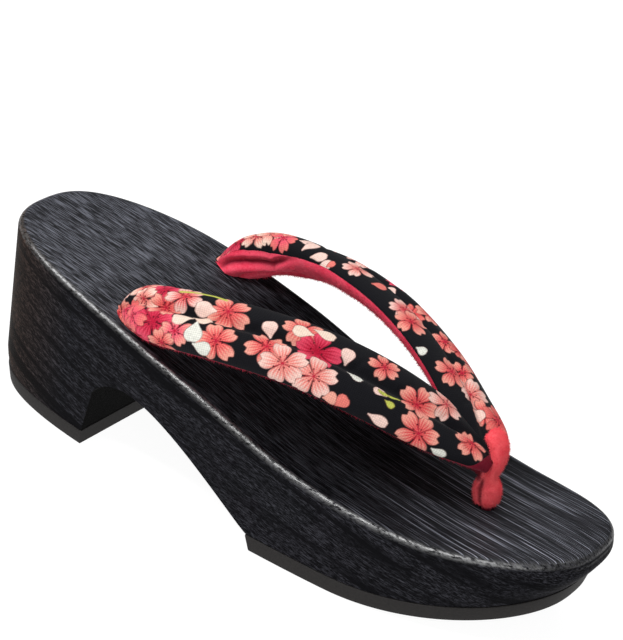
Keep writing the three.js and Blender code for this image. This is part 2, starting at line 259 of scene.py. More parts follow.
def smoothstep(value, start, end):
    share = np.clip((value - start) / (end - start), 0, 1)
    return share * share * (3 - 2 * share)


def between(value, start, full, fade, end):
    """1 in the middle of a range, falling to 0 at both ends."""
    return smoothstep(value, start, full) * (1 - smoothstep(value, fade, end))


def bell(value, middle, width):
    return np.exp(-((value - middle) / width) ** 2)


def turned(along, out, turn_deg):
    """Distances along a direction and aside of it."""
    cos, sin = math.cos(math.radians(turn_deg)), math.sin(math.radians(turn_deg))
    return along * cos + out * sin, out * cos - along * sin


def deck_height(x):
    return smooth(DECK_HEIGHTS, (x - DECK_START) / DECK_STEP)


def sole_height(x):
    run = np.maximum(0, x - SPRING_START)
    return SPRING_RADIUS - np.sqrt(SPRING_RADIUS ** 2 - run ** 2)


def tread_top(x):
    run = np.maximum(0, x - SPRING_START)
    return sole_height(x) + TREAD * SPRING_RADIUS / np.sqrt(SPRING_RADIUS ** 2 - run ** 2)


def oval(share, inset):
    """Half of the base's plan outline from heel to toe: x and half-width."""
    along = np.cos(np.pi * share)
    x = -np.sign(along) * np.abs(along) ** (2 / OVAL_POWER) * (LENGTH / 2 - inset)
    across = np.maximum(np.sin(np.pi * share), 0) ** (2 / OVAL_POWER)
    across[(share <= 0) | (share >= 1)] = 0
    return x, across * (WIDTH / 2 - inset)


def oval_share(x):
    along = np.asarray(x, float) / (LENGTH / 2)
    return np.arccos(-np.sign(along) * np.abs(along) ** (OVAL_POWER / 2)) / np.pi


def wall_point(share, inset, depth):
    """Outline of the walls. Depth is 0 at the rim and 1 at the floor, where they have leaned in."""
    x, half = oval(share, inset)
    reach = x / (LENGTH / 2)
    heel = depth * (1 - smoothstep(x, HEEL_FRONT, FOREFOOT_REAR))
    toe = smoothstep(x, SPRING_START, LENGTH / 2)
    toe_lean = TOE_LEAN * depth - TOE_BELLY * np.sin(math.pi * depth)
    behind = np.minimum(reach, 0)
    tuck = HEEL_TUCK * smoothstep(depth, TUCK_START, 1)
    rear = HEEL_LEAN_REAR * heel * behind ** 2 + tuck * behind ** 6
    front = (TOE_REACH - toe_lean) * toe * np.maximum(reach, 0) ** 4
    return x + rear + front, half * (1 - (HEEL_LEAN_SIDE * heel + toe_lean * toe) / (WIDTH / 2))


def bezier(start, first, second, end, steps):
    at = np.linspace(0, 1, steps)[:, None]
    rest = 1 - at
    corners = [np.array(point, float) for point in (start, first, second, end)]
    return (corners[0] * rest ** 3 + corners[1] * 3 * at * rest ** 2
            + corners[2] * 3 * at ** 2 * rest + corners[3] * at ** 3)


def arch_profile():
    """Underside between heel and forefoot, as points from the heel's front face forward."""
    top, crown, slope_end = map(np.array, (HEEL_TOP, ARCH_CROWN, (FOREFOOT_REAR, TREAD)))
    rise = bezier(top, top + HEEL_CURVE, crown - (CROWN_REAR, 0), crown, RISE_STEPS)
    fall = bezier(crown, crown + (CROWN_FRONT, 0), slope_end + SLOPE_CURVE, slope_end, FALL_STEPS)
    foot = (FOREFOOT_REAR + FOREFOOT_RAKE, 0)
    return np.concatenate(([(HEEL_FRONT, 0)], rise, fall[1:], [foot]))


# Meshes

MERGE_DISTANCE = 2e-6


def new_mesh(name, points, faces):
    """Mesh from points in millimetres."""
    mesh = bpy.data.meshes.new(name)
    mesh.from_pydata((np.asarray(points) * MM).tolist(), [], faces)
    return mesh


def linked(name, data):
    """New object in the scene."""
    piece = bpy.data.objects.new(name, data)
    bpy.context.scene.collection.objects.link(piece)
    return piece


def new_object(name, points, faces, sharp_deg=40, shade=None):
    """Object with doubled points merged and faces turned outward."""
    mesh = new_mesh(name, points, faces)
    if shade is not None:
        add_shade(mesh, shade)
    turned_out(mesh, merged=True)
    smoothed(mesh, sharp_deg)
    return linked(name, mesh)


def attach(mesh, name, kind, field, values):
    """Gives each point of a mesh a value that its material reads."""
    mesh.attributes.new(name, kind, "POINT").data.foreach_set(field, values.ravel())


def add_shade(mesh, shade):
    """Painted shade on the nap at each point, 0 to 1."""
    attach(mesh, "shade", "FLOAT", "value", shade)


def turned_out(mesh, merged=False):
    tidy = bmesh.new()
    tidy.from_mesh(mesh)
    if merged:
        bmesh.ops.remove_doubles(tidy, verts=tidy.verts, dist=MERGE_DISTANCE)
    bmesh.ops.recalc_face_normals(tidy, faces=tidy.faces)
    tidy.to_mesh(mesh)
    tidy.free()


def smoothed(mesh, sharp_deg):
    mesh.shade_smooth()
    mesh.set_sharp_from_angle(angle=math.radians(sharp_deg))


def read(rows, name, width, kind=float):
    """One property of a mesh's points or triangles, as an array."""
    values = np.empty(len(rows) * width, kind)
    rows.foreach_get(name, values)
    return values.reshape(-1, width)


def tube_faces(rows, around):
    """Quads between neighbouring closed hoops, and one face over each end."""
    faces = []
    for row in range(rows - 1):
        here, there = row * around, (row + 1) * around
        for k in range(around):
            turn = (k + 1) % around
            faces.append((here + k, here + turn, there + turn, there + k))
    faces.append(tuple(range(around))[::-1])
    faces.append(tuple((rows - 1) * around + k for k in range(around)))
    return faces


def applied(piece):
    """Replaces a piece's mesh by what its modifiers make of it."""
    graph = bpy.context.evaluated_depsgraph_get()
    mesh = bpy.data.meshes.new_from_object(piece.evaluated_get(graph))
    piece.modifiers.clear()
    piece.data = mesh
    return piece


def finished(piece, material, slot, *nodes):
    """Dresses a piece, brings it to the part's origin and hides the imported nodes that it stands
    for.
    """
    piece.data.transform(Matrix.Translation((-ORIGIN_X * MM, 0, 0)))
    piece.data.materials.clear()
    piece.data.materials.append(material)
    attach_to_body(piece, "root")
    if nodes:
        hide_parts(*nodes)
    return piece


# Wooden base

DECK_ACROSS = 30
RIM_ROWS = 8
WALL_ROWS = 20
UNDER_ACROSS = 16
BASE_STEPS = 181
# Finer steps where the heel's front face meets the arch
FINE_START, FINE_END, FINE_STEP = -68, -50, 0.2
ARCH_HALVINGS = 30
BASE_SHARP_DEG, TREAD_SHARP_DEG = 32, 50
DRILL_SIDES, DRILL_LOW, DRILL_HIGH = 48, -20, 100
EDGE_ROWS = 4
HEEL_TREAD_STEPS, FOREFOOT_TREAD_STEPS = 60, 90


def hoop_rows(near_rows):
    """Hoops from rows of (x, half, z) down the near side. The first and last are carried across."""
    first, last = near_rows[0], near_rows[-1]
    across_deck = [(first[0], -first[1] * k, first[2]) for k in np.linspace(1, -1, DECK_ACROSS + 1)]
    across_under = [(last[0], last[1] * k, last[2]) for k in np.linspace(1, -1, UNDER_ACROSS + 1)]
    near = [(x, -half, z) for x, half, z in near_rows[-2:0:-1]]
    rows = across_deck + near_rows[1:-1] + across_under + near
    return np.stack([np.stack(row, -1) for row in rows], 1)


def wood_base(material):
    fine = oval_share(np.arange(FINE_START, FINE_END, FINE_STEP))
    shares = np.unique(np.concatenate((np.linspace(0, 1, BASE_STEPS), fine)))
    rows = []
    for turn in np.linspace(math.pi / 2, 0, RIM_ROWS + 1):
        x, half = wall_point(shares, RIM_RADIUS * (1 - math.cos(turn)), 0)
        rows.append((x, half, deck_height(x) - RIM_RADIUS * (1 - math.sin(turn))))
    end = wall_end(shares)
    for step in range(1, WALL_ROWS + 1):
        rows.append(wall(shares, end * step / WALL_ROWS))
    hoops = hoop_rows(rows)
    faces = tube_faces(*hoops.shape[:2])[:-2]
    base = new_object("wooden_base", hoops.reshape(-1, 3), faces, BASE_SHARP_DEG)
    drill = drills()
    cut = base.modifiers.new("holes", "BOOLEAN")
    cut.object = drill
    cut.solver = "EXACT"
    applied(base)
    bpy.data.objects.remove(drill)
    base.data.set_sharp_from_angle(angle=math.radians(BASE_SHARP_DEG))
    return finished(base, material, "stained_wood", "wood_base")


def wall(shares, depth):
    """Row of the wall at a depth from 0 at the rim to 1 at the tread."""
    x, half = wall_point(shares, 0, TREAD_TOP_DEPTH * depth)
    top, foot = deck_height(x) - RIM_RADIUS, tread_top(x) + GAP
    return x, half, top + (foot - top) * depth


def wall_end(shares):
    """Depth at which the arch cuts the wall off, found by halving, or 1 where it doesn't."""
    arch = arch_profile()

    def clear_of_arch(depth):
        x, _, z = wall(shares, depth)
        return z >= np.interp(x, arch[:, 0], arch[:, 1], left=-1, right=-1)

    shallow, deep = np.zeros_like(shares), np.ones_like(shares)
    uncut = clear_of_arch(deep)
    for _ in range(ARCH_HALVINGS):
        middle = (shallow + deep) / 2
        clear = clear_of_arch(middle)
        shallow, deep = np.where(clear, middle, shallow), np.where(clear, deep, middle)
    return np.where(uncut, 1, shallow)


def drills():
    """Upright rods for cutting the three holes."""
    holes = [(REAR_HOLE_X, side * REAR_HOLE_SIDE, REAR_HOLE_RADIUS) for side in (-1, 1)]
    holes.append((FRONT_HOLE_X, 0, FRONT_HOLE_RADIUS))
    turn = np.linspace(0, 2 * math.pi, DRILL_SIDES, endpoint=False)
    points, faces = [], []
    for x, y, radius in holes:
        start = len(points)
        for z in (DRILL_LOW, DRILL_HIGH):
            points.extend((x + radius * math.cos(a), y + radius * math.sin(a), z) for a in turn)
        faces.extend(tuple(start + k for k in face) for face in tube_faces(2, DRILL_SIDES))
    return new_object("drills", points, faces)


def tread(name, bottom_shares, top_shares, material, node):
    """Rubber tread with a slightly rounded edge."""
    bottom_x, bottom_half = wall_point(bottom_shares, -TREAD_PROUD, 1)
    top_x, top_half = wall_point(top_shares, -TREAD_PROUD, TREAD_TOP_DEPTH)
    bottom = np.stack((bottom_x, bottom_half, sole_height(bottom_x)))
    top = np.stack((top_x, top_half, tread_top(top_x)))
    turns = np.linspace(0, math.pi / 2, EDGE_ROWS)
    rows = [edge_row(top, bottom, turn) for turn in turns]
    rows += [edge_row(bottom, top, turn) for turn in turns[::-1]]
    hoops = hoop_rows(rows)
    faces = tube_faces(*hoops.shape[:2])
    piece = new_object(name, hoops.reshape(-1, 3), faces, TREAD_SHARP_DEG)
    return finished(piece, material, "tread_rubber", node)


def edge_row(edge, other, turn):
    """Row on the rounding of a tread's edge, drawn in and moved towards the other edge."""
    inset, drop = 1 - math.sin(turn), 1 - math.cos(turn)
    moved = edge + (other - edge) * (TREAD_EDGE * drop / TREAD)
    return moved[0], np.maximum(moved[1] - TREAD_EDGE * inset, 0), moved[2]


# Strap

ARM_LENGTH_STEPS = 620
FACE_STEPS = 132
UNDER_STEPS = 8
BACKING_STEPS = 90
BACKING_ROWS = 420
ARM_SAMPLES, SKIN_SAMPLES = 4000, 600
FACE_SHARP_DEG, BACKING_SHARP_DEG = 50, 60
EDGE_TURN = 0.03
MIDDLE_GAP = 0.02
# How far the printed face reaches round the inner edge, in radians, by distance from the rear end:
# it wraps further where the arm leaves the deck
TURNED_IN_AT = (0, 8, 16, 24, 32, 40, 56)
TURNED_IN = (-0.45, -0.1, 0.3, 0.43, 0.4, 0.25, 0)
# Where it ends at the outer edge: tucked under, but drawn up at the point of the V
TUCKED_UNDER, DRAWN_UP, DRAWN_UP_RUN = 0.22, 1.62, (142, 151)
# Folds of the printed face: middle along and out, half-length, turn in degrees, depth and
# half-width. Those with a depth below zero are ridges.
FOLDS = (
    (11, 5, 7, 62, 0.7, 1),
    (16, -4, 6, -48, 0.6, 1),
    (20, 7, 7, 40, 0.5, 1.2),
    (24, -3, 6, -30, 0.4, 1.1),
    (33, 4, 5, 58, 0.35, 1.1),
    (45, -3.5, 5, -60, 0.3, 1.2),
    (58, 4, 5, 64, 0.35, 1.3),
    (63, -3.6, 5, -58, 0.3, 1.2),
    (71, 2.6, 4.6, 66, 0.3, 1.1),
    (88, 3.6, 5, 60, 0.35, 1.2),
    (97, -3.4, 5, -62, 0.35, 1.2),
    (108, 3.4, 5, 62, 0.4, 1.2),
    (114, -3.8, 5, -56, 0.35, 1.2),
    (126, 3, 6, 48, 0.45, 1.1),
    (131, -3.6, 5, -52, 0.4, 1),
    (137, 1, 8, 8, 0.7, 0.9),
    (142, 8, 6, 24, 0.7, 0.9),
    (144.5, 3.2, 6, 14, 0.6, 0.8),
    (120, 6, 9, 6, -0.35, 2.2),
    (80, 6.5, 9, 4, -0.3, 2.4),
)
# Share of a fold's half-length that has its full depth
FOLD_FULL = 0.3
# The velvet's two lips where the arm leaves the deck: the crease between them and its place as a
# share of the way round, by distance from the rear end, and how they swell beside it
LIP_RUN = (2, 9, 28, 42)
LIP_PLACE_AT, LIP_PLACE = (0, 6, 12, 26, 36), (0.08, 0.1, 0.2, 0.19, 0.05)
LIP_WIDTH, LIP_DEPTH = 0.06, 1.2
LOWER_SWELL, LOWER_PLACE, LOWER_WIDTH = 1.7, 0.17, 0.11
UPPER_SWELL, UPPER_PLACE, UPPER_WIDTH = 0.9, -0.1, 0.05
# Painted shade on the nap in that crease, on the upper lip, at the outer edge and at the point of
# the V
CREASE_SHADE, UPPER_SHADE = 0.9, 0.3
EDGE_SHADE, EDGE_SHADE_RUN = 0.6, (0.7, 0.95)
POINT_SHADE, POINT_SHADE_RUN = 0.85, (136, 147)


def arm_column(name, at):
    return smooth([row[ARM_COLUMNS.index(name)] for row in ARM_ROWS], at)


def arm_centre(at):
    return np.stack((arm_column("x", at), -arm_column("side", at), arm_column("z", at)), -1)


def unit(vectors):
    return vectors / np.linalg.norm(vectors, axis=-1, keepdims=True)


def arm_axes(at):
    """Middle of the near arm's section with its face and outward directions."""
    nudge = 0.01
    along = unit(arm_centre(at + nudge) - arm_centre(at - nudge))
    back, out = arm_column("back", at), arm_column("out", at)
    face = np.stack((-back, -out, 1 - back), -1)
    face = unit(face - along * np.sum(face * along, -1, keepdims=True))
    return arm_centre(at), face, np.cross(along, face)


def padded(across, crease, crease_at=0.0):
    dome = np.sqrt(np.maximum(0, 1 - np.abs(across) ** EDGE_POWER))
    return dome * (1 - crease * bell(across, crease_at, CREASE_WIDTH))


class Arm:
    """Sections of the near arm, at equal distances from the rear hole to the point of the V."""

    def __init__(self, count):
        fine = np.linspace(0, len(ARM_ROWS) - 1, ARM_SAMPLES)
        steps = np.linalg.norm(np.diff(arm_centre(fine), axis=0), axis=1)
        distance = np.concatenate(([0], np.cumsum(steps)))
        self.along = np.linspace(0, distance[-1], count)
        self.at = np.interp(self.along, distance, fine)
        self.middle, self.face, self.outward = arm_axes(self.at)
        self.wide, self.thick = arm_column("wide", self.at), arm_column("thick", self.at)
        self.crease = CREASE_DEPTH * arm_column("crease", self.at)

    def place(self, across, up):
        """Points at distances across and up, arrays with a row for each section."""
        return (self.middle[:, None] + self.outward[:, None] * across[..., None]
                + self.face[:, None] * up[..., None])

    def skin(self, turn, shrink=0.0):
        """Outer surface at an angle round the section: 0 at the outer edge, pi at the inner one."""
        across = np.cos(turn)
        height = self.thick[:, None] * padded(across, self.crease[:, None])
        height = np.maximum(height - shrink, 0)
        return self.place(across * (self.wide[:, None] - shrink), np.sign(np.sin(turn)) * height)


def run_lengths(points):
    """Distance of each point from the start of its row."""
    lengths = np.linalg.norm(np.diff(points, axis=1), axis=2)
    return np.concatenate((np.zeros((len(points), 1)), np.cumsum(lengths, 1)), 1)


def resampled(points, steps):
    """Each row of points, spread evenly along its length, with their distances from its start."""
    distance = run_lengths(points)
    even = np.empty((len(points), steps + 1, 3))
    places = np.empty((len(points), steps + 1))
    for row in range(len(points)):
        places[row] = np.linspace(0, distance[row, -1], steps + 1)
        for axis in range(3):
            even[row, :, axis] = np.interp(places[row], distance[row], points[row, :, axis])
    return even, places


def kept_to_side(points):
    """Keeps the near arm on its own side of the middle plane."""
    return np.stack((points[..., 0], np.minimum(points[..., 1], -MIDDLE_GAP), points[..., 2]), -1)


def seated(points):
    """Lifts what would sink into the deck, or draws it into the rear hole, whichever is nearer."""
    x, y, z = np.moveaxis(points, -1, 0)
    sunk = deck_height(x) + GAP - z
    off_x, off_y = x - REAR_HOLE_X, y + REAR_HOLE_SIDE
    distance = np.hypot(off_x, off_y)
    limit = REAR_HOLE_RADIUS - GAP
    outside = np.maximum(distance - limit, 0)
    within = (sunk > 0) & (outside > 0)
    scale = np.where(within & (sunk > outside), limit / np.maximum(distance, 1e-6), 1)
    return np.stack((REAR_HOLE_X + off_x * scale, -REAR_HOLE_SIDE + off_y * scale,
                     np.where(within & (sunk <= outside), z + sunk, z)), -1)


def face_turns(arm):
    """Angles round each section at which the printed face starts and ends."""
    first = DRAWN_UP * smoothstep(arm.along, *DRAWN_UP_RUN) - TUCKED_UNDER
    last = math.pi + np.interp(arm.along, TURNED_IN_AT, TURNED_IN)
    return first[:, None], last[:, None]


def mirrored(points, side):
    return points * np.array((1, side, 1))


def strap_face(name, side, print_rows, material):
    """Printed face of one arm: side is 1 for the near arm and -1 for the far one."""
    arm = Arm(ARM_LENGTH_STEPS + 1)
    first, last = face_turns(arm)
    share = np.linspace(0, 1, SKIN_SAMPLES)
    turn = first + (last - first) * share[None]
    skin = kept_to_side(arm.skin(turn))
    upper, places = resampled(skin, FACE_STEPS)
    crest = [np.interp(math.pi / 2, row, share) for row in turn]
    middle = np.array([np.interp(at, share, run) for at, run in zip(crest, run_lengths(skin))])
    out = middle[:, None] - places
    dent = folded(np.repeat(arm.along[:, None], FACE_STEPS + 1, 1), out)
    upper = kept_to_side(upper - arm.face[:, None] * dent[..., None])
    under_turn = math.pi + (math.pi + first) * np.linspace(0, 1, UNDER_STEPS + 1)[None]
    under = kept_to_side(arm.skin(under_turn, shrink=BACKING + GAP))
    hoops = seated(np.concatenate((upper, under), 1))
    along = np.repeat(arm.along, hoops.shape[1])
    out = np.concatenate((out, np.repeat(out[:, -1:], UNDER_STEPS + 1, 1)), 1).ravel()
    return cloth_piece(name, mirrored(hoops, side), along, out, print_rows, material)


def folded(along, out):
    """Depth of the folds in the printed face at points along and out."""
    depth = np.zeros_like(along)
    for fold_along, fold_out, half, turn, deep, wide in FOLDS:
        run, across = turned(along - fold_along, out - fold_out, turn)
        fade = 1 - smoothstep(np.abs(run), FOLD_FULL * half, half)
        depth += deep * bell(across, 0, wide) * fade
    return depth


def cloth_piece(name, hoops, along, out, print_rows, material):
    """Printed cloth, which carries its colours and its own flat coordinates at each point."""
    mesh = new_mesh(name, hoops.reshape(-1, 3), tube_faces(*hoops.shape[:2]))
    painted = printed(along, out, *print_rows)
    opaque = np.concatenate((painted, np.ones((len(painted), 1))), 1)
    attach(mesh, "print", "FLOAT_COLOR", "color", opaque)
    attach(mesh, "cloth", "FLOAT_VECTOR", "vector", np.stack((along, out, np.zeros(along.size)), 1))
    turned_out(mesh)
    smoothed(mesh, FACE_SHARP_DEG)
    piece = finished(linked(name, mesh), material, "printed_cotton", "strap_face")
    return piece


def strap_backing(name, side, material):
    """Velvet under one arm, from edge to edge of the printed face, with two lips where it rises,
    and painted shade on its nap.
    """
    arm = Arm(BACKING_ROWS + 1)
    face_first, face_last = face_turns(arm)
    first, last = face_last + EDGE_TURN, 2 * math.pi + face_first - EDGE_TURN
    share = np.linspace(0, 1, BACKING_STEPS + 1)[None]
    skin = arm.skin(first + (last - first) * share)
    dent, crease = lips(arm, share)
    outer = kept_to_side(skin - unit(skin - arm.middle[:, None]) * dent[..., None])
    back = np.linspace(1, 0, UNDER_STEPS + 1)[None]
    inner = kept_to_side(arm.skin(first + (last - first) * back, shrink=BACKING))
    # Painted shade: in the crease between the lips, on the upper lip, towards the outer edge, at
    # the point of the V, and all over the inner side
    shade = np.maximum(crease, EDGE_SHADE * smoothstep(share, *EDGE_SHADE_RUN))
    shade = np.maximum(shade, POINT_SHADE * smoothstep(arm.along, *POINT_SHADE_RUN)[:, None])
    shade = np.concatenate((shade, np.ones((len(shade), UNDER_STEPS + 1))), 1)
    hoops = mirrored(seated(np.concatenate((outer, inner), 1)), side)
    faces = tube_faces(*hoops.shape[:2])
    piece = new_object(name, hoops.reshape(-1, 3), faces, BACKING_SHARP_DEG, shade)
    return finished(piece, material, "red_velvet", "strap_backing")


def lips(arm, share):
    """Depth of the crease between the velvet's lips, less their swell, and the painted shade in it.
    """
    rising = between(arm.along, *LIP_RUN)[:, None]
    lip = share - np.interp(arm.along, LIP_PLACE_AT, LIP_PLACE)[:, None]
    crease = bell(lip, 0, LIP_WIDTH)
    swell = (LOWER_SWELL * bell(lip, LOWER_PLACE, LOWER_WIDTH)
             + UPPER_SWELL * bell(lip, UPPER_PLACE, UPPER_WIDTH))
    dark = np.maximum(CREASE_SHADE * crease, UPPER_SHADE * (lip < 0))
    return rising * (LIP_DEPTH * crease - swell), rising * dark


# Print on the strap

# Half-width of a petal from its base to its tip, as shares of the widest
PETAL_WIDTHS = (0.14, 0.30, 0.56, 0.83, 1.0, 1.0, 0.86, 0.45)
PETALS, STAMENS, VEINS = 5, 8, 5
# Half-width of a blossom's petal as a share of the blossom's radius
PETAL_HALF = 0.365
# Shares of a petal's length: farthest point, notch in the tip, spread of the heart and of the veins
PETAL_REACH, NOTCH, NOTCH_SLOPE = 1.1, 0.13, 0.7
HEART_RUN, VEIN_RUN, VEIN_DEPTH = (0.05, 1), (0.5, 0.98), 0.32
# Soft edge of the colour and dark outline inside it, darker on one side
PETAL_EDGE, OUTLINE_RUN, OUTLINE_SHADES = (-0.08, 0.12), (0.06, 0.4), (0.95, 0.6)
STAMEN_TURN, STAMEN_HALF, ANTHER_HALF = 20, 0.1, 0.26


class Print:
    """Colours of the printed cloth at points along and out, painted petal by petal."""

    def __init__(self, along, out):
        self.along, self.out = along, out
        self.colour = np.tile(TONES["ground"], (len(along), 1))

    def lay(self, where, cover, colour):
        self.colour[where] = shaded(self.colour[where], colour, cover)

    def petal(self, along, out, length, half, turn, petal_tone, heart_tone, notch=0.0):
        """Petal that widens to a blunt, notched tip, veined and shading into the heart's colour."""
        off_along, off_out = self.along - along, self.out - out
        where = np.nonzero(np.hypot(off_along, off_out) < length * PETAL_REACH)[0]
        if not len(where):
            return
        run, aside = turned(off_along[where], off_out[where], turn)
        run, across = run / length, np.abs(aside)
        body = half * smooth(PETAL_WIDTHS, np.clip(run, 0, 1) * (len(PETAL_WIDTHS) - 1))
        cut = np.maximum(0, notch - NOTCH_SLOPE * across / length)
        edge = np.minimum(body - across, (1 - cut - run) * length)
        edge = np.where(run <= 0, -1, edge)
        fade = 1 - smoothstep(run, *VEIN_RUN)
        vein = np.cos(VEINS * math.pi * aside / np.maximum(body, 0.2)) * fade
        heart = np.clip(1.05 - smoothstep(run, *HEART_RUN) + VEIN_DEPTH * vein, 0, 1)
        colour = shaded(TONES[petal_tone], TONES[heart_tone], heart)
        shadow = np.where(aside > 0, *OUTLINE_SHADES) * (1 - smoothstep(edge, *OUTLINE_RUN))
        colour = shaded(colour, TONES["wine"], shadow)
        self.lay(where, smoothstep(edge, *PETAL_EDGE), colour)

    def blossom(self, along, out, radius, turn, petal_tone, heart_tone=None):
        heart_tone = heart_tone or HEARTS[petal_tone]
        half = PETAL_HALF * radius
        for k in range(PETALS):
            wave = math.sin(5.3 * k + along)
            length = radius * (1 + 0.07 * wave)
            angle = turn + 360 * k / PETALS + 5 * wave
            self.petal(along, out, length, half, angle, petal_tone, heart_tone, NOTCH)
        for k in range(STAMENS):
            angle = math.radians(turn + STAMEN_TURN + 360 * k / STAMENS)
            reach = radius * (0.2 + 0.09 * (k % 3))
            tip = (along + reach * math.cos(angle), out + reach * math.sin(angle))
            self.stroke(((along, out), tip), STAMEN_HALF, "deep")
            self.stroke((tip, tip), ANTHER_HALF, "wine")

    def stroke(self, points, half, name):
        for (start_a, start_o), (end_a, end_o) in zip(points, points[1:]):
            run_a, run_o = end_a - start_a, end_o - start_o
            off_a, off_o = self.along - start_a, self.out - start_o
            length = max(run_a ** 2 + run_o ** 2, 1e-9)
            share = np.clip((off_a * run_a + off_o * run_o) / length, 0, 1)
            away = np.hypot(off_a - share * run_a, off_o - share * run_o)
            where = np.nonzero(away < half + 0.2)[0]
            cover = 1 - smoothstep(away[where], half - 0.1, half + 0.15)
            self.lay(where, cover, TONES[name])


def shaded(first, second, share):
    return first * (1 - share[:, None]) + second * share[:, None]


def printed(along, out, blossoms, stems, petals):
    """Colours of the cloth at points along and out, from the tables of one arm."""
    cloth = Print(along, out)
    for row in blossoms:
        cloth.blossom(*row)
    for points, half, name in stems:
        cloth.stroke(points, half, name)
    for along_at, out_at, length, half, turn, name in petals:
        cloth.petal(along_at, out_at, length, half, turn, name, name)
    return cloth.colour


# Toe post

POST_VOXEL = 0.4
POST_SMOOTHING = 3
POST_STEPS, POST_AROUND = 140, 72
TAIL_STEPS, TAIL_AROUND = 50, 48
CLEARING_STEPS, POINT_REACH = 500, 0.5
# Painted shade on the nap by height: between the stem's lobes, on the tail under the strap and on
# the foot
STEM_ROWS = 6
LOBE_SHADE, LOBE_SHADE_WIDTH, LOBE_RUN = 0.8, 0.2, (30, 33, 41, 44)
TAIL_SHADE, TAIL_RUN, TAIL_FRONT = 0.9, (40, 42, 50, 53), (74.0, 75.4)
FOOT_RUN = (31.8, 33)


def band(rows, steps, around):
    """Padded band in the middle plane, its section two lobes with a crease between them."""
    at = np.linspace(0, len(rows) - 1, steps)
    columns = {name: [row[k] for row in rows] for k, name in enumerate(BAND_COLUMNS)}
    x, z = smooth(columns["x"], at), smooth(columns["z"], at)
    run, rise = np.gradient(x), np.gradient(z)
    front = unit(np.stack((rise, np.zeros_like(run), -run), -1))
    turn = np.linspace(0, 2 * math.pi, around, endpoint=False)[None]
    lobes = np.cos(turn) * smooth(columns["thick"], at)[:, None]
    crease = smooth(columns["crease"], at)[:, None]
    half = smooth(columns["wide"], at)[:, None] * padded(np.cos(turn), crease, POST_CREASE_AT)
    spots = np.stack((x, np.zeros_like(x), z), -1)[:, None] + front[:, None] * lobes[..., None]
    spots[..., 1] += np.sign(np.sin(turn)) * half
    return spots.reshape(-1, 3), tube_faces(steps, around)


def clear_of_strap(points):
    """Moves what lies inside the strap straight out to its skin."""
    arm = Arm(CLEARING_STEPS)
    side = np.where(points[:, 1] > 0, -1.0, 1.0)
    mirror = np.stack((np.ones_like(side), side, np.ones_like(side)), -1)
    local = points * mirror
    nearest = np.array([np.argmin(np.sum((arm.middle - point) ** 2, 1)) for point in local])
    offset = local - arm.middle[nearest]
    across = np.sum(offset * arm.outward[nearest], 1) / (arm.wide[nearest] + GAP)
    up = np.sum(offset * arm.face[nearest], 1)
    height = arm.thick[nearest] * padded(np.clip(across, -1, 1), arm.crease[nearest]) + GAP
    ahead = np.sum(offset * np.cross(arm.face[nearest], arm.outward[nearest]), 1)
    inside = (np.abs(across) < 1) & (np.abs(up) < height) & (ahead < POINT_REACH)
    push = np.where(inside, np.sign(up) * height - up, 0)
    moved = local + arm.face[nearest] * push[:, None]
    return moved * mirror


def post_shade(points):
    """Painted shade in the crease between the stem's lobes, on the foot in the hole and on the tail
    under the strap.
    """
    stem = np.array(POST_ROWS[:STEM_ROWS])
    x, _, z = points.T
    middle, thick = (np.interp(z, stem[:, 1], stem[:, k]) for k in (0, 2))
    crease = bell((x - middle) / thick, POST_CREASE_AT, LOBE_SHADE_WIDTH) * between(z, *LOBE_RUN)
    tail = (1 - smoothstep(x, *TAIL_FRONT)) * between(z, *TAIL_RUN)
    foot = 1 - smoothstep(z, *FOOT_RUN)
    return np.maximum(np.maximum(LOBE_SHADE * crease, TAIL_SHADE * tail), foot)


def toe_post(material):
    stem_points, stem_faces = band(POST_ROWS, POST_STEPS, POST_AROUND)
    tail_points, tail_faces = band(TAIL_ROWS, TAIL_STEPS, TAIL_AROUND)
    shift = len(stem_points)
    faces = stem_faces + [tuple(k + shift for k in face) for face in tail_faces]
    piece = new_object("toe_post_velvet", np.concatenate((stem_points, tail_points)), faces)
    remesh = piece.modifiers.new("joined", "REMESH")
    remesh.mode = "VOXEL"
    remesh.voxel_size = POST_VOXEL * MM
    soften = piece.modifiers.new("soft", "SMOOTH")
    soften.iterations = POST_SMOOTHING
    applied(piece)
    points = clear_of_strap(read(piece.data.vertices, "co", 3) / MM)
    piece.data.vertices.foreach_set("co", (points * MM).ravel())
    piece.data.shade_smooth()
    piece.data.update()
    # Painted shade in the lobes' crease, on the tail and on the foot
    add_shade(piece.data, post_shade(points))
    finished(piece, material, "red_velvet", "toe_post")
    return piece


# Short fibres that stand up from the velvet
POST_NAP, BACKING_NAP = 15000, 14000
FIBRE_LENGTH, FIBRE_HALF = 1.0, 0.06
FIBRE_LENGTHS, FIBRE_LEAN = (0.5, 1.1), 0.45
FIBRE_SIDE = (0.31, 0.74, 0.59)
FIBRE_TURNS = (0, 2 * math.pi / 3, 4 * math.pi / 3)
FIBRE_FACES = ((0, 1, 3), (1, 2, 3), (2, 0, 3), (2, 1, 0))


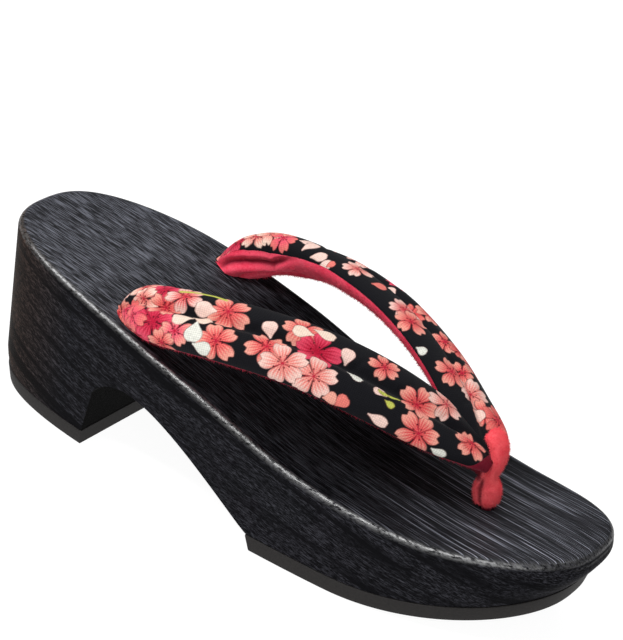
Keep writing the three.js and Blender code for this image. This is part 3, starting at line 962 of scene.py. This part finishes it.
def nap(name, piece, count, material):
    """Fibres on a piece of velvet. Those that would enter the strap or the deck are left out."""
    rng = np.random.default_rng(SEED)
    mesh = piece.data
    mesh.calc_loop_triangles()
    spots = read(mesh.vertices, "co", 3) / MM + (ORIGIN_X, 0, 0)
    corners = read(mesh.loop_triangles, "vertices", 3, int)
    first, second, third = spots[corners].transpose(1, 0, 2)
    normal = np.cross(second - first, third - first)
    area = np.linalg.norm(normal, axis=1)
    chosen = rng.choice(len(area), count, p=area / area.sum())
    down, aside = rng.random((2, count, 1))
    down = np.sqrt(down)
    edge = second[chosen] * (1 - aside) + third[chosen] * aside
    foot = first[chosen] * (1 - down) + edge * down
    lean = unit(unit(normal[chosen]) + FIBRE_LEAN * rng.normal(size=(count, 3)))
    tip = foot + lean * FIBRE_LENGTH * rng.uniform(*FIBRE_LENGTHS, (count, 1))
    # Each fibre takes the painted shade of the velvet where it stands
    shade = read(mesh.attributes["shade"].data, "value", 1)[corners[chosen, 0], 0]
    free = np.linalg.norm(clear_of_strap(tip) - tip, axis=1) < 1e-6
    free &= tip[:, 2] > deck_height(tip[:, 0]) + GAP
    fibres = spikes(name, foot[free], tip[free], lean[free], shade[free])
    return finished(linked(name, fibres), material, "red_velvet")


def spikes(name, foot, tip, lean, shade):
    """Mesh of slim three-sided spikes."""
    side = unit(np.cross(lean, FIBRE_SIDE))
    other = np.cross(lean, side)
    rings = [foot + FIBRE_HALF * (math.cos(turn) * side + math.sin(turn) * other)
             for turn in FIBRE_TURNS]
    points = np.stack(rings + [tip], 1).reshape(-1, 3)
    start = 4 * np.arange(len(foot))[:, None]
    faces = np.concatenate([start + np.array(face) for face in FIBRE_FACES])
    mesh = new_mesh(name, points, faces.tolist())
    add_shade(mesh, np.repeat(shade, 4))
    return mesh


# Materials

class Shader:
    """Principled material, built node by node."""

    def __init__(self, name, **values):
        self.material = bpy.data.materials.new(name)
        self.material.use_nodes = True
        self.nodes = self.material.node_tree.nodes
        self.links = self.material.node_tree.links
        self.surface = self.nodes["Principled BSDF"]
        for socket, value in values.items():
            self.surface.inputs[socket.replace("_", " ")].default_value = value

    def add(self, kind, result, inputs, **settings):
        """Adds a node and gives the named output. Inputs are values or other nodes' outputs."""
        node = self.nodes.new("ShaderNode" + kind)
        for setting, value in settings.items():
            setattr(node, setting, value)
        for socket, value in inputs.items():
            if isinstance(value, bpy.types.NodeSocket):
                self.links.new(value, node.inputs[socket])
            else:
                node.inputs[socket].default_value = value
        return node.outputs[result]

    def plug(self, **sockets):
        for socket, output in sockets.items():
            self.links.new(output, self.surface.inputs[socket.replace("_", " ")])

    def place(self, scale, slope=0.0):
        """The piece's own coordinates in repeats per millimetre. Slope lets Z fall along X."""
        spot = self.add("TexCoord", "Object", {})
        if slope:
            x, y, z = (self.axis(name, spot) for name in "XYZ")
            level = self.calc("ADD", z, self.times(x, slope))
            spot = self.add("CombineXYZ", "Vector", {"X": x, "Y": y, "Z": level})
        return self.stretch(spot, [axis / MM for axis in scale])

    def stretch(self, spot, scale):
        return self.add("Mapping", "Vector", {"Vector": spot, "Scale": scale})

    def noise(self, spot, detail=3.0, roughness=0.5, scale=1.0, distortion=0.0):
        return self.add("TexNoise", "Fac", {"Vector": spot, "Scale": scale, "Detail": detail,
                                            "Roughness": roughness, "Distortion": distortion})

    def ramp(self, value, start, end, low=0.0, high=1.0):
        return self.add("MapRange", "Result", {"Value": value, "From Min": start, "From Max": end,
                                               "To Min": low, "To Max": high})

    def calc(self, operation, first, second):
        return self.add("Math", "Value", {0: first, 1: second}, operation=operation)

    def times(self, first, *others):
        for other in others:
            first = self.calc("MULTIPLY", first, other)
        return first

    def mix(self, share, first, second):
        """Between two colours. Sockets 6, 7 and 2 are the colour ones of the node."""
        colours = {socket: value if isinstance(value, bpy.types.NodeSocket) else (*value, 1)
                   for socket, value in ((6, first), (7, second))}
        return self.add("Mix", 2, {0: share, **colours}, data_type="RGBA")

    def blend(self, share, first, second):
        """Between two values, as mix is between two colours."""
        rest = self.calc("SUBTRACT", 1, share)
        return self.calc("ADD", self.times(first, rest), self.times(second, share))

    def bump(self, height, strength, distance):
        return self.add("Bump", "Normal", {"Height": height, "Strength": strength,
                                           "Distance": distance * MM})

    def axis(self, name, vector):
        return self.add("SeparateXYZ", name, {"Vector": vector})


# Fall of the wall's grain towards the toe, and how the deck's streaks bend to the near side there
WALL_SLOPE = 0.2
BEND_START, BEND = 40.0, 0.0028
# Tones of the wood: the deck in its middle, darker as painted shade, and at its ends, lighter as
# painted sheen; streaks, light grain that also stands for painted glints; low and high grain of the
# walls and of the heel's rear; and the inside of the arch, black as painted shade
DECK_SHADE_SHEEN_TONES, GRAIN_GLINT_TONE = (tone(4, 4, 5), tone(25, 25, 28)), tone(158, 161, 174)
WALL_TONES = (tone(15, 15, 17), tone(62, 62, 68))
HEEL_TONES = (tone(17, 13, 11), tone(80, 61, 49))
ARCH_SHADE_TONE = (0, 0, 0)


def deck_looks(look, spot, heel, toe):
    """Colour and grain of the deck: fine streaks at the heel, long broken ones at the toe. The
    streaks also stand for painted glints, and the deck is lighter at its ends as painted sheen.
    """
    along = look.axis("X", spot)
    ahead = look.calc("MAXIMUM", look.calc("SUBTRACT", along, BEND_START * MM), 0)
    bend = look.times(look.calc("POWER", ahead, 2), BEND / MM)
    across = look.calc("ADD", look.axis("Y", spot), bend)
    bent = look.add("CombineXYZ", "Vector", {"X": along, "Y": across})
    streak = look.noise(look.place((0.11, 1.9, 0)), detail=2, roughness=0.7)
    thread_spot = look.stretch(bent, (0.009 / MM, 1.7 / MM, 0))
    thread = look.noise(thread_spot, detail=2, roughness=0.7)
    dash = look.noise(look.stretch(bent, (0.05 / MM, 0.9 / MM, 0)), detail=2)
    # Light streaks of grain, which also stand for painted glints, stronger at the heel and toe
    fine = look.times(look.ramp(streak, 0.48, 0.6), look.ramp(heel, 0, 1, 0.045, 0.35))
    long = look.times(look.ramp(thread, 0.54, 0.62), look.ramp(toe, 0, 1, 0.07, 1.0),
                      look.ramp(dash, 0.42, 0.58, 0.12, 1))
    # Ground darker in the middle as painted shade, lighter at the heel and toe as painted sheen
    ground = look.mix(look.calc("MAXIMUM", heel, toe), *DECK_SHADE_SHEEN_TONES)
    colour = look.mix(look.calc("ADD", fine, long), ground, GRAIN_GLINT_TONE)
    return colour, look.blend(toe, streak, thread)


def wall_looks(look, along, aside, upward):
    """Colour and grain of the walls: growth lines, brown at the heel's rear, and black painted
    shade in the arch.
    """
    sloped = look.place((1, 1, 1), WALL_SLOPE)
    speck = look.noise(look.stretch(sloped, (0.4, 0.8, 3.0)), detail=4, roughness=0.7)
    growth_spot = look.stretch(sloped, (0.015, 0.03, 0.3))
    growth = look.noise(growth_spot, detail=3, roughness=0.5, distortion=0.7)
    ring = look.times(look.ramp(growth, 0.38, 0.56, 0.05, 1), look.ramp(speck, 0.46, 0.68))
    brown = look.ramp(along, -0.075, -0.118)
    low, high = (look.mix(brown, *tones) for tones in zip(WALL_TONES, HEEL_TONES))
    # Painted shade: the inside of the arch is coloured black
    inside = look.times(look.ramp(aside, 0.2, 0.5, 1, 0), look.ramp(upward, 0.1, 0.3, 1, 0),
                        look.ramp(along, -0.07, -0.066), look.ramp(along, 0.018, 0.022, 1, 0))
    return look.mix(inside, look.mix(ring, low, high), ARCH_SHADE_TONE), speck


def wood_material():
    """Black lacquer over open grain: streaks along the deck, a polished rim and duller walls."""
    look = Shader("stained_wood", Specular_IOR_Level=0.006, Coat_Roughness=0.37, Coat_IOR=2.1)
    facing = look.add("NewGeometry", "Normal", {})
    upward = look.axis("Z", facing)
    aside = look.calc("ABSOLUTE", look.axis("Y", facing), 0)
    spot = look.add("TexCoord", "Object", {})
    along = look.axis("X", spot)
    deck = look.ramp(upward, 0.85, 0.945)
    rim = look.times(look.ramp(upward, 0.2, 0.5), look.ramp(upward, 0.84, 0.95, 1, 0))
    toe, heel = look.ramp(along, 0.038, 0.09), look.ramp(along, -0.075, -0.03, 1, 0)
    deck_colour, grain = deck_looks(look, spot, heel, toe)
    wall_colour, speck = wall_looks(look, along, aside, upward)
    wear = look.noise(look.place((0.5, 1.2, 1.2)), detail=4, roughness=0.7)
    polish = look.times(rim, look.ramp(wear, 0.36, 0.56))
    gloss = look.times(deck, look.calc("ADD", heel, toe), 0.07)
    height = look.blend(deck, look.times(speck, 0.5), grain)
    look.plug(
        Base_Color=look.mix(deck, wall_colour, deck_colour),
        Coat_Weight=look.calc("ADD", polish, gloss),
        Roughness=look.blend(deck, look.ramp(speck, 0.3, 0.7, 0.36, 0.55),
                             look.ramp(grain, 0.35, 0.65, 0.28, 0.46)),
        Normal=look.bump(height, 1.0, 0.22))
    return look.material


def rubber_material():
    look = Shader("tread_rubber", Roughness=0.75, Specular_IOR_Level=0.3)
    speck = look.noise(look.place((1.2, 1.2, 1.2)), detail=4)
    colour = look.mix(speck, tone(20, 19, 19), tone(40, 37, 36))
    look.plug(Base_Color=colour, Normal=look.bump(speck, 0.3, 0.2))
    return look.material


THREAD_SCALE = 0.436


def cotton_material():
    look = Shader("printed_cotton", Roughness=0.85, Specular_IOR_Level=0.1, Sheen_Weight=0.03)
    colour = look.add("Attribute", "Color", {}, attribute_name="print")
    cloth = look.add("Attribute", "Vector", {}, attribute_name="cloth")
    threads = {"Vector": cloth, "Scale": THREAD_SCALE, "Distortion": 0.4, "Detail": 1}
    weave = look.calc("ADD", *(look.add("TexWave", "Fac", threads, bands_direction=way)
                               for way in "XY"))
    mottle = look.ramp(look.noise(cloth, detail=3, scale=0.9), 0.3, 0.7, 0.82, 1)
    light = look.times(mottle, look.ramp(weave, 0.2, 1.8, 0.78, 1))
    shade = look.mix(light, (0, 0, 0), colour)
    look.plug(Base_Color=shade, Normal=look.bump(weave, 0.35, 0.15))
    return look.material


# Colour of the painted shade on the nap
NAP_SHADE_TONE = tone(92, 8, 30)
# Light and dark of the nap on the post, and at the strap's rear and front. The strap's front pair
# is darker as painted shade.
POST_TONES = (tone(238, 60, 80), tone(255, 124, 128))
REAR_TONES = (tone(238, 40, 78), tone(255, 104, 126))
FRONT_SHADE_TONES = (tone(168, 26, 54), tone(216, 66, 88))


def velvet_material(name, rear_tones, front_tones):
    """Velvet with a lively nap, in one pair of tones at the rear and another at the front, where a
    darker pair is painted shade. The shade attribute mixes in more painted shade.
    """
    look = Shader(name, Roughness=0.9, Specular_IOR_Level=0.1, Sheen_Weight=0.25,
                  Sheen_Roughness=0.4, Sheen_Tint=(1, 0.3, 0.36, 1))
    nap_grain = look.noise(look.place((1.6, 1.6, 1.6)), detail=4, roughness=0.7)
    cloud = look.noise(look.place((0.12, 0.12, 0.12)), detail=2)
    share = look.calc("ADD", look.ramp(nap_grain, 0.3, 0.7, 0, 0.6),
                      look.ramp(cloud, 0.35, 0.65, 0, 0.4))
    along = look.axis("X", look.add("TexCoord", "Object", {}))
    rear_colour, front_colour = (look.mix(share, *tones) for tones in (rear_tones, front_tones))
    # Darker towards the front: painted shade
    colour = look.mix(look.ramp(along, -0.03, 0.035), rear_colour, front_colour)
    shade = look.add("Attribute", "Fac", {}, attribute_name="shade")
    # The shade attribute mixes painted shade into the nap's colour
    look.plug(Base_Color=look.mix(shade, colour, NAP_SHADE_TONE),
              Normal=look.bump(nap_grain, 0.5, 0.4))
    return look.material


# Studio

CAMERA_TURN, CAMERA_RISE, CAMERA_ROLL = 26.571, 27.242, 13.398
CAMERA_DISTANCE = 848.997
CAMERA_AIM = (0.174, 0.0, 30.0)
CAMERA_ASIDE, CAMERA_UP = 4.888, 33.108
LENS, SENSOR = 135.96, 36.0
FLOOR_SIZE, FLOOR_GREY, FLOOR_GLOW = 6.0, 0.15, 0.95
WORLD_LIGHT = 0.2
# Softboxes: name, direction from the shoe, distance and sides in metres, power in watts
SOFTBOXES = (
    ("key", (-0.40, -0.46, 0.80), 1.3, (1.4, 0.14), 15),
    ("fill", (0.35, -0.75, 0.55), 1.6, (1.0, 0.8), 7),
    ("far", (-0.15, 0.48, 0.86), 1.5, (1.4, 0.25), 9),
)


def add_camera():
    turn, rise, roll = (math.radians(angle) for angle in (CAMERA_TURN, CAMERA_RISE, CAMERA_ROLL))
    back = Vector((math.sin(turn) * math.cos(rise), -math.cos(turn) * math.cos(rise),
                   math.sin(rise)))
    level = Vector((math.cos(turn), math.sin(turn), 0))
    upright = back.cross(level)
    right = level * math.cos(roll) + upright * math.sin(roll)
    up = upright * math.cos(roll) - level * math.sin(roll)
    place = Vector(CAMERA_AIM) + right * CAMERA_ASIDE + up * CAMERA_UP + back * CAMERA_DISTANCE
    data = bpy.data.cameras.new("camera")
    data.sensor_fit = "VERTICAL"
    data.sensor_height = SENSOR
    data.lens = LENS
    camera = linked("camera", data)
    axes = Matrix((right, up, back)).transposed().to_4x4()
    camera.matrix_world = Matrix.Translation(place * MM) @ axes
    bpy.context.scene.camera = camera


def add_softbox(name, direction, distance, size, power):
    """Light that faces the shoe, its first side along the shoe."""
    data = bpy.data.lights.new(name, "AREA")
    data.shape = "RECTANGLE"
    data.size, data.size_y = size
    data.energy = power
    light = linked(name, data)
    aim = Vector(direction).normalized()
    light.location = aim * distance
    level = (Vector((1, 0, 0)) - aim * aim.x).normalized()
    light.rotation_euler = Matrix((level, aim.cross(level), aim)).transposed().to_euler()


def add_studio():
    half = FLOOR_SIZE / 2 / MM
    corners = [(-half, -half, 0), (half, -half, 0), (half, half, 0), (-half, half, 0)]
    floor = new_object("floor", corners, [(0, 1, 2, 3)])
    look = Shader("floor", Base_Color=(FLOOR_GREY, FLOOR_GREY, FLOOR_GREY, 1), Roughness=0.8,
                  Specular_IOR_Level=0.1, Emission_Color=(1, 1, 1, 1),
                  Emission_Strength=FLOOR_GLOW)
    floor.data.materials.append(look.material)
    for softbox in SOFTBOXES:
        add_softbox(*softbox)
    world = bpy.data.worlds.new("studio")
    world.use_nodes = True
    background = world.node_tree.nodes["Background"]
    background.inputs["Color"].default_value = (1, 1, 1, 1)
    background.inputs["Strength"].default_value = WORLD_LIGHT
    bpy.context.scene.world = world
    bpy.context.scene.view_settings.view_transform = "Standard"


def add_sandal():
    wood = wood_material()
    rubber = rubber_material()
    cotton = cotton_material()
    backing_red = velvet_material("red_velvet_backing", REAR_TONES, FRONT_SHADE_TONES)
    post_red = velvet_material("red_velvet_post", POST_TONES, POST_TONES)
    wood_base(wood)
    heel_end, front_start, sole_start = (
        float(oval_share(x)) for x in (HEEL_FRONT, FOREFOOT_REAR, FOREFOOT_REAR + FOREFOOT_RAKE))
    heel_shares = np.linspace(0, heel_end, HEEL_TREAD_STEPS)
    tread("heel_tread_rubber", heel_shares, heel_shares, rubber, "heel_tread")
    front_top, front_bottom = (np.linspace(start, 1, FOREFOOT_TREAD_STEPS)
                               for start in (front_start, sole_start))
    tread("forefoot_tread_rubber", front_bottom, front_top, rubber, "forefoot_tread")
    strap_face("strap_face_near", 1, NEAR_PRINT, cotton)
    strap_face("strap_face_far", -1, FAR_PRINT, cotton)
    backings = {name: strap_backing("strap_backing_" + name, side, backing_red)
                for name, side in (("near", 1), ("far", -1))}
    post = toe_post(post_red)
    nap("toe_post_nap", post, POST_NAP, post_red)
    for name, backing in backings.items():
        nap("strap_nap_" + name, backing, BACKING_NAP, backing_red)


add_camera()
add_studio()
add_sandal()
